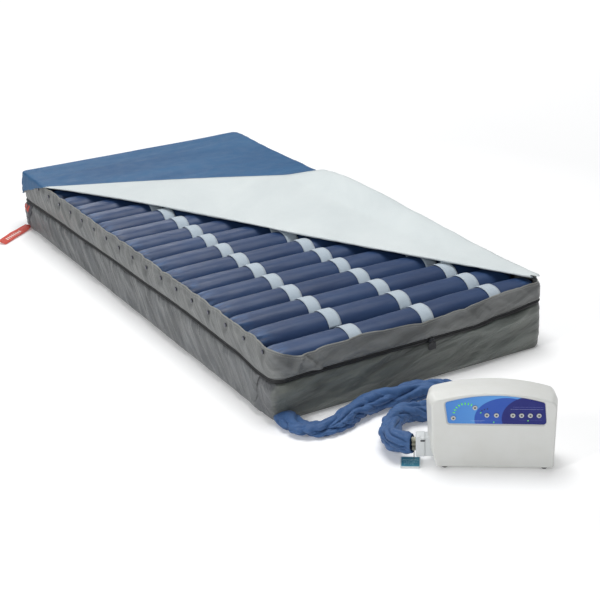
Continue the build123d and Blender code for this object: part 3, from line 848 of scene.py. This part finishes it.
def upper_surround():
    """Strip above the zip: buttoned at the sides, drooping at the foot."""
    ring = outline(0.0038)
    rows, uv = [], []
    steps = 22
    for j in range(steps + 4):
        row, marks = [], []
        for x, y, nx, ny, run in ring:
            low, top = zip_height(x, y, nx, ny) + ZIP_HALF, strip_top(x, y, nx, ny)
            t = min(j / steps, 1.0)
            z = low + (top - low) * t
            left, foot = side_share(nx, ny)
            right = smooth(nx, 0.3, 0.9)
            free = left * (1 - smooth(y, 0.70, 0.76))
            puff = 0.0038 * math.sin(math.pi * t ** 0.8)
            lean = -0.007 * smooth(t, 0.72, 1.0) * (left + right) - 0.0035 * foot * smooth(t, 0.25, 1.0)
            ripple = 0.0036 * bumps(run * 11, z * 10, 3.0)
            ripple += 0.0040 * creases(run * 15 + z * 12, z * 9, 6.0, 1.5)
            fold = 0.0060 * creases(z * 17 - run * 3.4, run * 3 + z * 4, 9.0, 1.4) * foot
            fold += 0.0030 * creases(run * 19 + z * 25, z * 12, 1.5, 1.4) * foot
            pleat = 0.0
            if foot > 0.5:  # a tuck running down from the free edge
                away = x - (-0.304 - 0.059 * t)
                pleat = 0.0085 * smooth(away, -0.034, 0.0) * (1 - smooth(away, 0.0, 0.006))
                back = x - (-0.392 + 0.030 * t)
                ridge = smooth(back, -0.020, 0.0) * (1 - smooth(back, 0.0, 0.012))
                pleat += 0.0050 * ridge * smooth(t, 0.0, 0.3)
                pleat *= 1 - 0.7 * smooth(t, 0.72, 1.0)
            loose = smooth(t, 0.0, 0.15)
            wavy = ripple * (0.35 + 0.65 * max(free, foot)) + fold
            out = puff * (0.45 + 0.55 * free) + lean + loose * wavy + pleat
            out -= 0.0014 * (1 - smooth(t, 0.0, 0.08))
            # the hem, turned over and stitched
            hem = top - z
            stitches = math.exp(-((hem - 0.0096) / 0.0009) ** 2)
            out += 0.0009 * (1 - smooth(hem, 0.0082, 0.0092)) - 0.0006 * stitches
            if left + right > 0.5:
                d2 = min((y - s) ** 2 for s in STUD_Y) + (z - STUD_Z) ** 2
                m = smooth(math.exp(-d2 / 0.019 ** 2), 0.0, 0.8)
                out = out * (1 - m) - 0.0014 * m
            if nx > 0.3 or ny > 0.3 or y > 0.735:
                out = min(out, 0.0028)
            if foot > 0.5:
                out = max(out, -0.0045)
            out += (min(out, 0.0006) - out) * slider_track(x, ny) * (1 - smooth(z, 0.1285, 0.1335))
            if j > steps:  # over the edge and a little way down inside
                k = j - steps
                out -= (0.0012, 0.0026, 0.0030)[k - 1]
                z += (0.0007, -0.0004, -0.011)[k - 1]
            row.append((x + nx * out, y + ny * out, z))
            marks.append((run, z - top))
        rows.append(row)
        uv.append(marks)
    piece = grid_piece("upper_surround", rows, M["surround"], loop=True, uv=uv)
    edit(piece, lambda bm: bmesh.ops.recalc_face_normals(bm, faces=bm.faces))
    return settle(piece, "cover_grey", "cell_surround")


def zip_run():
    """Zip tape between two lips of cloth, with its teeth."""
    ring = outline(0.00125)
    half = ((-0.0072, -0.0012), (-0.0052, 0.0006), (-0.0030, 0.0008), (-0.0018, 0.0009), (-0.0014, 0.0021))
    profile = (*half, (0.0, 0.0026), *((-rise, out) for rise, out in reversed(half)))
    rows, uv = [], []
    for rise, out in profile:
        row, marks = [], []
        for i, (x, y, nx, ny, run) in enumerate(ring):
            free = 1 - slider_track(x, ny)
            z = zip_height(x, y, nx, ny) + rise + 0.0005 * free * bumps(run * 30, rise * 90)
            tooth = 0.0003 * (1 if i % 2 else -1) if abs(rise) < 0.0019 else 0.0
            sway = 0.0006 * free * bumps(run * 9, 4.4)
            o = out + tooth + sway
            row.append((x + nx * o, y + ny * o, z))
            marks.append((run, z))
        rows.append(row)
        uv.append(marks)
    piece = grid_piece("zip_run", rows, M["zip"], loop=True, uv=uv)
    edit(piece, lambda bm: bmesh.ops.recalc_face_normals(bm, faces=bm.faces))
    return settle(piece, "zip_black", "zip_chain")


lower_cover()
upper_surround()
zip_run()


# ---- cells -------------------------------------------------------------------
CELL_LOW, CELL_HIGH = (c.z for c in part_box(CELL_NAMES[0]))
CELL_MID, CELL_HALF = (CELL_LOW + CELL_HIGH) / 2, (CELL_HIGH - CELL_LOW) / 2
CELL_HALF_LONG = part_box(CELL_NAMES[0])[1].x
CELL_HALF_WIDE, CELL_POWER = 0.0524, 2.45
BAND_TURN = 1.12  # how far round the cell a band is seen, in radians from the crest


def cell_ring(turn, wide, high):
    """A point of the cell's section, turn 0 at the crest."""
    s, c = math.sin(turn), math.cos(turn)
    power = 2 / CELL_POWER
    return wide * signed(s, power), high * signed(c, power)


def shifted(x, middle, y, z):
    """The last cell leans out over the drooping strip."""
    lean = (1 - smooth(x, -0.10, 0.20)) * smooth(z, CELL_MID, CELL_HIGH) if middle < -0.9 else 0.0
    return x, middle + y - 0.007 * lean, z - 0.007 * lean


def cell(name, middle, seed):
    """An inflated sausage of nylon, welded flat and puckered at its ends."""
    steps = 64
    places = [0.0, 0.002, 0.005, 0.009, 0.014, 0.020, 0.027, 0.035, 0.044, 0.054, 0.064, 0.075, 0.09]
    places += [0.11 + 0.0256 * k for k in range(14)]
    places = [d for d in places if d < CELL_HALF_LONG]
    xs = [d - CELL_HALF_LONG for d in places] + [0.0] + [CELL_HALF_LONG - d for d in reversed(places)]
    rows = []
    for x in xs:
        d = CELL_HALF_LONG - abs(x)
        r = rounded(d, 0.042, 2.3)
        wide, high = CELL_HALF_WIDE * (0.05 + 0.95 * r), CELL_HALF * (0.76 + 0.24 * r)
        squeeze = sum(math.exp(-((x - b) / 0.034) ** 2) for b in BAND_X)
        end = math.exp(-d / 0.038) * smooth(d, 0.0, 0.006)
        row = []
        for k in range(steps):
            turn = 2 * math.pi * k / steps
            y, z = cell_ring(turn, wide, high)
            away = math.hypot(y, z)
            pucker = 0.0034 * end * math.sin(11 * turn + 2.5 * bumps(turn, seed))
            pucker *= 0.6 + bumps(turn * 2, seed * 3.1)
            swell = 0.0011 * bumps(x * 5, math.sin(turn) * 1.2, math.cos(turn) + seed * 7.7)
            small = 0.0009 * creases(x * 9, turn * 2.1, seed * 5.0) * smooth(d, 0.02, 0.1)
            push = pucker + swell - small - 0.0013 * squeeze
            if abs(y) > 0.048:  # it presses on the next cell
                push = min(push, 0.0)
            y, z = y * (1 + push / away), z * (1 + push / away)
            droop = -0.006 * math.exp(-d / 0.07)
            row.append(shifted(x, middle, y, min(CELL_MID + z + droop, CELL_HIGH + 0.0008)))
        rows.append(row)
    piece = grid_piece(name + "_skin", rows, M["cell"], loop=True)
    close_rings(piece, steps, 0, len(rows) - 1)
    piece.data.shade_smooth()
    piece.modifiers.new("round", "SUBSURF").render_levels = 1
    settle(piece, "cell_nylon", name)


def bands():
    """Elastic bands over the cells, three rows of one band to a cell."""
    verts, faces, marks = [], [], []
    across, around = 8, 26
    for i, middle in enumerate(STUD_Y):
        for j, x in enumerate(BAND_X):
            first = len(verts)
            twist = 0.0015 * bumps(i * 3.3, j * 5.7)
            for a in range(around + 1):
                turn = (a / around - 0.5) * 2 * BAND_TURN
                y, z = cell_ring(turn, CELL_HALF_WIDE + 0.0006, CELL_HALF + 0.0006)
                for b in range(across + 1):
                    w = (b / across - 0.5)
                    edge = abs(w) * 2
                    lift = 0.0006 + 0.0007 * (1 - edge ** 4) + 0.0004 * bumps(turn * 3, b * 0.6, i + j * 20)
                    away = math.hypot(y, z)
                    narrow = 1 - 0.05 * (abs(turn) / BAND_TURN) ** 2
                    yy, zz = y * (1 + lift / away), z * (1 + lift / away)
                    xx = x + w * BAND_WIDE * narrow + twist * turn
                    verts.append(shifted(xx, middle, yy, CELL_MID + zz))
                    marks.append((w * BAND_WIDE, turn * 0.055))
            for a in range(around):
                for b in range(across):
                    k = first + a * (across + 1) + b
                    faces.append((k, k + 1, k + across + 2, k + across + 1))
    mesh = bpy.data.meshes.new("bands")
    mesh.from_pydata(verts, [], faces)
    layer = mesh.uv_layers.new(name="cloth")
    for loop in mesh.loops:
        layer.data[loop.index].uv = marks[loop.vertex_index]
    piece = add_piece("elastic_bands", mesh, M["band"])
    face_up(piece, len(mesh.polygons) // 108)  # the middle of the first band
    thicken(piece, 0.0011)
    return settle(piece, "band_weave", "cell_bands")


for number, (name, middle) in enumerate(zip(CELL_NAMES, STUD_Y)):
    cell(name, middle, 1.0 + number)
bands()


def base_cushion():
    """Air cushion that stays full, under the cells: ribbed by its welds."""
    (x0, y0, z0), (x1, y1, z1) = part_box("static_base")
    rows = []
    steps, count = 60, 190
    for j in range(count + 1):
        y = y0 + (y1 - y0) * j / count
        d = min(y - y0, y1 - y)
        r = rounded(d, 0.03, 2.2)
        rib = 0.0035 * abs(math.sin(math.pi * (y - y0) / CELL_STEP)) ** 0.6 - 0.0035
        high = ((z1 - z0) / 2 + rib) * (0.12 + 0.88 * r)
        row = []
        for k in range(steps):
            turn = 2 * math.pi * k / steps
            x = (x1 - x0) / 2 * (0.97 + 0.03 * r) * signed(math.sin(turn), 0.22)
            z = high * signed(math.cos(turn), 0.5)
            row.append(((x0 + x1) / 2 + x, y, (z0 + z1) / 2 + z))
        rows.append(row)
    piece = grid_piece("base_cushion", rows, M["film"], loop=True)
    close_rings(piece, steps, 0, count)
    settle(piece, "base_film", "static_base")


base_cushion()


# ---- top cover ---------------------------------------------------------------
# Flat, the cover is a panel with a skirt round it. It is laid over the head
# half and turned back along a diagonal, so that its white inside shows.
PANEL_X, PANEL_Y = 0.4485, 0.973
SKIRT = 0.088
EDGE_R = 0.006  # where the panel turns down into its skirt
CORNER_R = 0.012
PANEL_Z = 0.2134
FOLD_A, FOLD_B = Vector((-0.460, 0.738)), Vector((0.438, -0.990))
FOLD_WAY = (FOLD_B - FOLD_A).normalized()
FOLD_IN = Vector((-FOLD_WAY.y, FOLD_WAY.x))  # towards what stays in place
FOLD_R = 0.0042
FOLD_BOW, FOLD_BOW_LONG = 0.165, 1.35
FLAP_TIP, COVER_FOOT = 1.905, -0.93  # along the fold, and in y: nothing is drawn past them
ROLL_X, ROLL_WIDE, ROLL_LOW = 0.424, 0.027, 0.2146
TUCK = 0.13


def fold_bow(run):
    """How far the fold bows towards the head, run metres along it."""
    if run < 0:
        return -run * FOLD_BOW
    x = min(run / FOLD_BOW_LONG, 1.0)
    return FOLD_BOW * x * (1 - x) ** 2


def fold_place(p):
    """(distance along the fold, distance past it) of a flat point."""
    d = p - FOLD_A
    run = d.dot(FOLD_WAY)
    return run, d.dot(FOLD_IN) - fold_bow(run)


def to_edge(p):
    """(nearest point of the panel's outline, normal, distance outside it)."""
    ax, ay = abs(p.x), abs(p.y)
    cx, cy = PANEL_X - CORNER_R, PANEL_Y - CORNER_R
    sx, sy = math.copysign(1, p.x), math.copysign(1, p.y)
    if ax <= cx and ay <= cy or (ax <= PANEL_X and ay <= cy) or (ay <= PANEL_Y and ax <= cx):
        return p, None, 0.0
    if ay <= cy:
        return Vector((sx * PANEL_X, p.y)), Vector((sx, 0)), ax - PANEL_X
    if ax <= cx:
        return Vector((p.x, sy * PANEL_Y)), Vector((0, sy)), ay - PANEL_Y
    d = Vector((ax - cx, ay - cy))
    away = d.length
    if away <= CORNER_R:
        return p, None, 0.0
    n = Vector((sx * d.x / away, sy * d.y / away))
    return Vector((sx * cx, sy * cy)) + n * CORNER_R, n, away - CORNER_R


def roll_high(y):
    """Half the height of the flap's rolled-under edge, from foot to head."""
    return along([(-0.97, 0.0012), (-0.80, 0.0016), (-0.66, 0.0040), (-0.50, 0.0095),
                  (-0.33, 0.0140), (-0.10, 0.0200), (0.09, 0.0212), (0.17, 0.0190),
                  (0.24, 0.0150), (0.30, 0.0080), (0.5, 0.003)], y)


def laid(p):
    """A flat point of the part that stays in place."""
    near, n, t = to_edge(p)
    x, y = near
    ribs = layered(
        (0.0016, y * 7 + 0.5 * x, x * 1.2, 0.5, 1.5), (0.0013, y * 16 - 1.1 * x, x * 1.6, 4.0, 1.5))
    ribs += 0.0022 * (0.5 + 0.5 * bumps(x * 3, y * 5, 2.0))
    head = smooth(y, 0.55, 0.95)
    right = smooth(x, 0.30, 0.45) * smooth(y, 0.1, 0.3)
    z = PANEL_Z + ribs * (1 + 0.5 * head) + 0.0020 * right * (0.7 + 0.5 * bumps(y * 6, 9.0))
    rim = 1 - smooth(min(PANEL_X - abs(x), PANEL_Y - abs(y)), 0.0, 0.05) if n is None else 1.0
    z += 0.0025 * rim * head
    if n is None:
        return Vector((x, y, z))
    bend = EDGE_R * math.pi / 2
    if t < bend:
        a = t / EDGE_R
        return Vector((
            x + n.x * EDGE_R * math.sin(a), y + n.y * EDGE_R * math.sin(a), z - EDGE_R * (1 - math.cos(a)),
        ))
    t = min(t, SKIRT)
    drop = t - bend
    run = x * n.y - y * n.x
    hang = smooth(drop, 0.0, 0.05)
    wave = 0.0052 * hang * bumps(run * 9, drop * 3, 6.0)
    wave += 0.0035 * hang * creases(run * 14 + drop * 6, drop * 9, 2.0)
    out = EDGE_R + 0.0006 + max(wave, -0.0004) + 0.0012 * hang
    return Vector((x + n.x * out, y + n.y * out, z - EDGE_R - drop))


def folded(p):
    """A flat point of the part that is turned back."""
    near, n, t = to_edge(p)
    if n is not None and n.x < -0.5:  # its skirt spreads flat, more towards the foot
        run = max(0.0, FOLD_A.y - near.y)
        p = near + n * min(t, SKIRT) * 1.5 * (run / 1.04) ** 1.15
    run, past = fold_place(p)
    q = -past
    at = FOLD_A + FOLD_WAY * run + FOLD_IN * (q + fold_bow(run))
    x, y = at
    rest = 0.2170 + 0.0034 * math.exp(-q / 0.045)
    soft = 0.0014 * (0.5 + 0.5 * bumps(x * 4, y * 4, 12.0))
    rest += soft + 0.0008 * creases(x * 5 + y * 8, y * 3, 14.0, 1.5)
    b = roll_high(y)
    rise = smooth(x, ROLL_X - 0.11, ROLL_X)
    z = rest + (max(rest, ROLL_LOW + 2 * b) - rest) * rise
    if x <= ROLL_X:
        return Vector((x, y, z))
    b = (max(z, ROLL_LOW + 2 * b) - ROLL_LOW) / 2
    half = math.pi * math.sqrt((ROLL_WIDE ** 2 + b * b) / 2)
    d = x - ROLL_X
    if d < half:
        a = math.pi / 2 - math.pi * d / half
        wave = 1 + 0.05 * bumps(y * 8, a, 3.0)
        return Vector((ROLL_X + ROLL_WIDE * math.cos(a) * wave, y, ROLL_LOW + b + b * math.sin(a)))
    return Vector((ROLL_X - (d - half), y, ROLL_LOW - 0.0002))


def turned(p, past, run):
    """The U of the fold itself."""
    a = past / FOLD_R
    inward = FOLD_R * (1 - math.cos(a)) + fold_bow(run)
    at = FOLD_A + FOLD_WAY * run + FOLD_IN * inward
    low, high = laid(p).z, folded(p).z
    return Vector((at.x, at.y, (low + high) / 2 - (high - low) / 2 * math.sin(a)))


def top_cover():
    """One sheet, blue outside and white inside."""
    bm = bmesh.new()
    half_x, half_y = PANEL_X + SKIRT, PANEL_Y + SKIRT

    def ticks(half, panel, fine, step):
        inner = [panel - 0.011 * k for k in range(1, 3)]
        count = round(2 * inner[-1] / step)
        middle = [-inner[-1] + 2 * inner[-1] * k / count for k in range(count + 1)]
        rim = [panel] + [panel + EDGE_R * math.pi / 2 * k / 4 for k in range(1, 5)]
        rest = (half - rim[-1]) / fine
        rim += [rim[-1] + rest * (k + 1) for k in range(fine)]
        return sorted([-v for v in rim + inner[:-1]] + middle + inner[:-1] + rim)

    xs = ticks(half_x, PANEL_X, 8, 0.0095)
    ys = ticks(half_y, PANEL_Y, 8, 0.0095)
    # flat points are bowed first, so that the fold is straight while it is cut
    verts = [[bm.verts.new((x, y, 0)) for x in xs] for y in ys]
    for j in range(len(ys) - 1):
        for i in range(len(xs) - 1):
            bm.faces.new((verts[j][i], verts[j][i + 1], verts[j + 1][i + 1], verts[j + 1][i]))
    for v in bm.verts:
        p = v.co.xy
        run = (p - FOLD_A).dot(FOLD_WAY)
        p = p - FOLD_IN * fold_bow(run)
        v.co = (p.x, p.y, 0)
    bend = FOLD_R * math.pi / 2
    for k in range(-6, 7):
        at = FOLD_A + FOLD_IN * (bend * k / 6)
        geom = bm.verts[:] + bm.edges[:] + bm.faces[:]
        bmesh.ops.bisect_plane(
            bm, geom=geom, plane_co=(at.x, at.y, 0), plane_no=(FOLD_IN.x, FOLD_IN.y, 0), dist=1e-6)
    for v in bm.verts:  # and straightened out again
        run = (v.co.xy - FOLD_A).dot(FOLD_WAY)
        v.co.xy = v.co.xy + FOLD_IN * fold_bow(run)
    drop = []
    for face in bm.faces:
        c = face.calc_center_median().xy
        run, past = fold_place(c)
        near, n, t = to_edge(c)
        if past < bend and n is not None:
            left = n.x < -0.5
            if not left or past > -bend or t > SKIRT or run < 0 and past < 0:
                drop.append(face)
                continue
        if n is not None and near.y < COVER_FOOT or run > FLAP_TIP and past > -bend:
            drop.append(face)
            continue
        if past < -bend:
            x = (FOLD_A + FOLD_WAY * run + FOLD_IN * (-past + fold_bow(run))).x
            if x > ROLL_X + 0.07 + TUCK:
                drop.append(face)
    bmesh.ops.delete(bm, geom=drop, context="FACES")
    layer = bm.loops.layers.uv.new("cloth")
    for face in bm.faces:
        for loop in face.loops:
            loop[layer].uv = loop.vert.co.xy
    for v in bm.verts:
        p = v.co.xy.copy()
        run, past = fold_place(p)
        if past >= bend - 1e-6:
            v.co = laid(p)
        elif past <= -bend + 1e-6:
            v.co = folded(p)
        else:
            v.co = turned(p, past, run)
    bmesh.ops.remove_doubles(bm, verts=bm.verts, dist=0.0004)
    bmesh.ops.dissolve_degenerate(bm, edges=bm.edges, dist=0.0002)
    loose = [v for v in bm.verts if not v.link_faces]
    bmesh.ops.delete(bm, geom=loose, context="VERTS")
    mesh = bpy.data.meshes.new("top_cover_sheet")
    bm.to_mesh(mesh)
    bm.free()
    piece = add_piece("top_cover_sheet", mesh, M["blue"], M["white"])
    solid = piece.modifiers.new("thickness", "SOLIDIFY")
    solid.thickness, solid.offset = 0.0012, -1
    solid.material_offset, solid.material_offset_rim = 1, 1
    settle(piece, "cover_blue", "top_cover")


top_cover()


# ---- release strap -----------------------------------------------------------
STRAP_WIDE = 0.034
STRAP_SIDE = Vector((0.635, -0.772, 0))  # across the ribbon
PLUG_X = -0.4545  # the ribbon starts at the plug's face


def strap():
    """Red ribbon sewn to the release plug, lying out on the floor."""
    points = smooth_line([(-0.4545, 0.953, 0.0125), (-0.466, 0.944, 0.0105), (-0.484, 0.930, 0.0040),
                          (-0.515, 0.904, 0.0035), (-0.550, 0.875, 0.0062), (-0.580, 0.850, 0.0036),
                          (-0.602, 0.832, 0.0026)])
    rows, marks, run = [], [], 0.0
    for i, p in enumerate(points):
        if i:
            run += (p - points[i - 1]).length
        row, mark = [], []
        for k in range(9):
            w = (k / 8 - 0.5) * STRAP_WIDE
            tilt = 0.30 * smooth(run, 0.0, 0.05)
            across = STRAP_SIDE * math.cos(tilt) - Vector((0, 0, 1)) * math.sin(tilt)
            lift = 0.0016 * bumps(run * 22, w * 40, 3.3) * smooth(run, 0.02, 0.05)
            rim = 0.0005 if k in (0, 8) else 0.0
            q = p + across * w
            q.z += 0.017 * math.sin(tilt)
            row.append((min(q.x, PLUG_X), q.y, max(0.0016, q.z + lift + rim)))
            mark.append((w, run))
        rows.append(row)
        marks.append(mark)
    piece = grid_piece("release_strap", rows, M["strap"], uv=marks)
    face_up(piece, 20)
    thicken(piece, 0.0012)
    settle(piece, "strap_red", "cpr_strap", body="cpr_release")


strap()


# ---- carried-over parts ------------------------------------------------------
BUTTONS = [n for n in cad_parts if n.startswith("button_")]
FINISHES = {
    "press_studs": "stud", "zip_slider": "dark", "zip_pull": "tab", "air_manifolds": "tube",
    "inlet_block": "fitting", "cpr_valve": "fitting", "cpr_plug": "red", "hose_tubes": "tube",
    "connector_body": "fitting", "connector_latch": "dark", "hose_tag": "card", "front_case": "case",
    "rear_case": "case", "control_panel": "panel", "display_board": "lamps", "outlet_socket": "fitting",
    "mains_inlet": "dark", "power_switch": "dark", "hook_left": "case", "hook_right": "case",
    "hook_pins": "steel", "pump_feet": "rubber", "case_screws": "steel", "compressor": "motor",
    "air_valve": "fitting",
}


def refinish(name, finish):
    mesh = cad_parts[name].data
    mesh.materials.clear()
    mesh.materials.append(finish.material)


for name, finish in FINISHES.items():
    refinish(name, M[finish])
turn_back = Matrix.Rotation(-PUMP_YAW, 3, "Z")
for name in BUTTONS:
    low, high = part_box(name)
    middle = turn_back @ ((low + high) / 2 - PUMP_AT)
    refinish(name, button_finish(name + "_cap", (middle.x, middle.z)))


# ---- floor and light ---------------------------------------------------------
def floor():
    f = Finish("floor", Roughness=0.75, Emission_Color=(1, 1, 1, 1))
    away = f.add("VectorMath", {0: f.where()}, operation="LENGTH").outputs["Value"]
    f.plug(f.shader.inputs["Emission Strength"], f.span(away, 1.8, 5.5, 0.14, 0.80))  # white to its far edge
    f.colour(f.mix(f.noise(f.where(), 1.5), (0.93, 0.93, 0.93, 1), (0.96, 0.96, 0.96, 1)))
    mesh = bpy.data.meshes.new("floor")
    r = 16
    corners = [(x, y, -0.0004) for x, y in ((-r, -r), (r, -r), (r, r), (-r, r))]
    mesh.from_pydata(corners, [], [(0, 1, 2, 3)])
    add_piece("floor", mesh, f.material)


def lamp(name, at, aim, size, power, tint=(1, 1, 1)):
    data = bpy.data.lights.new(name, "AREA")
    data.shape, data.size, data.energy, data.color = "DISK", size, power, tint
    light = bpy.data.objects.new(name, data)
    light.location = at
    light.rotation_euler = (Vector(aim) - Vector(at)).to_track_quat("-Z", "Y").to_euler()
    bpy.context.scene.collection.objects.link(light)


floor()
bpy.context.scene.view_settings.view_transform = "Standard"
world = bpy.data.worlds.new("studio")
world.use_nodes = True
sky = world.node_tree.nodes["Background"]
sky.inputs["Color"].default_value = (0.96, 0.98, 1.0, 1)
sky.inputs["Strength"].default_value = 0.24
bpy.context.scene.world = world
lamp("top", (0.2, -0.2, 4.2), (0, -0.3, 0.1), 2.8, 130)
lamp("key", (-4.2, -1.6, 2.4), (-0.4, -0.9, 0.1), 0.9, 60)
lamp("back", (0.8, 4.2, 2.6), (0, 0, 0.2), 2.4, 44)
lamp("fill", (-1.2, -4.6, 2.0), (0.1, -0.9, 0.1), 1.2, 8)
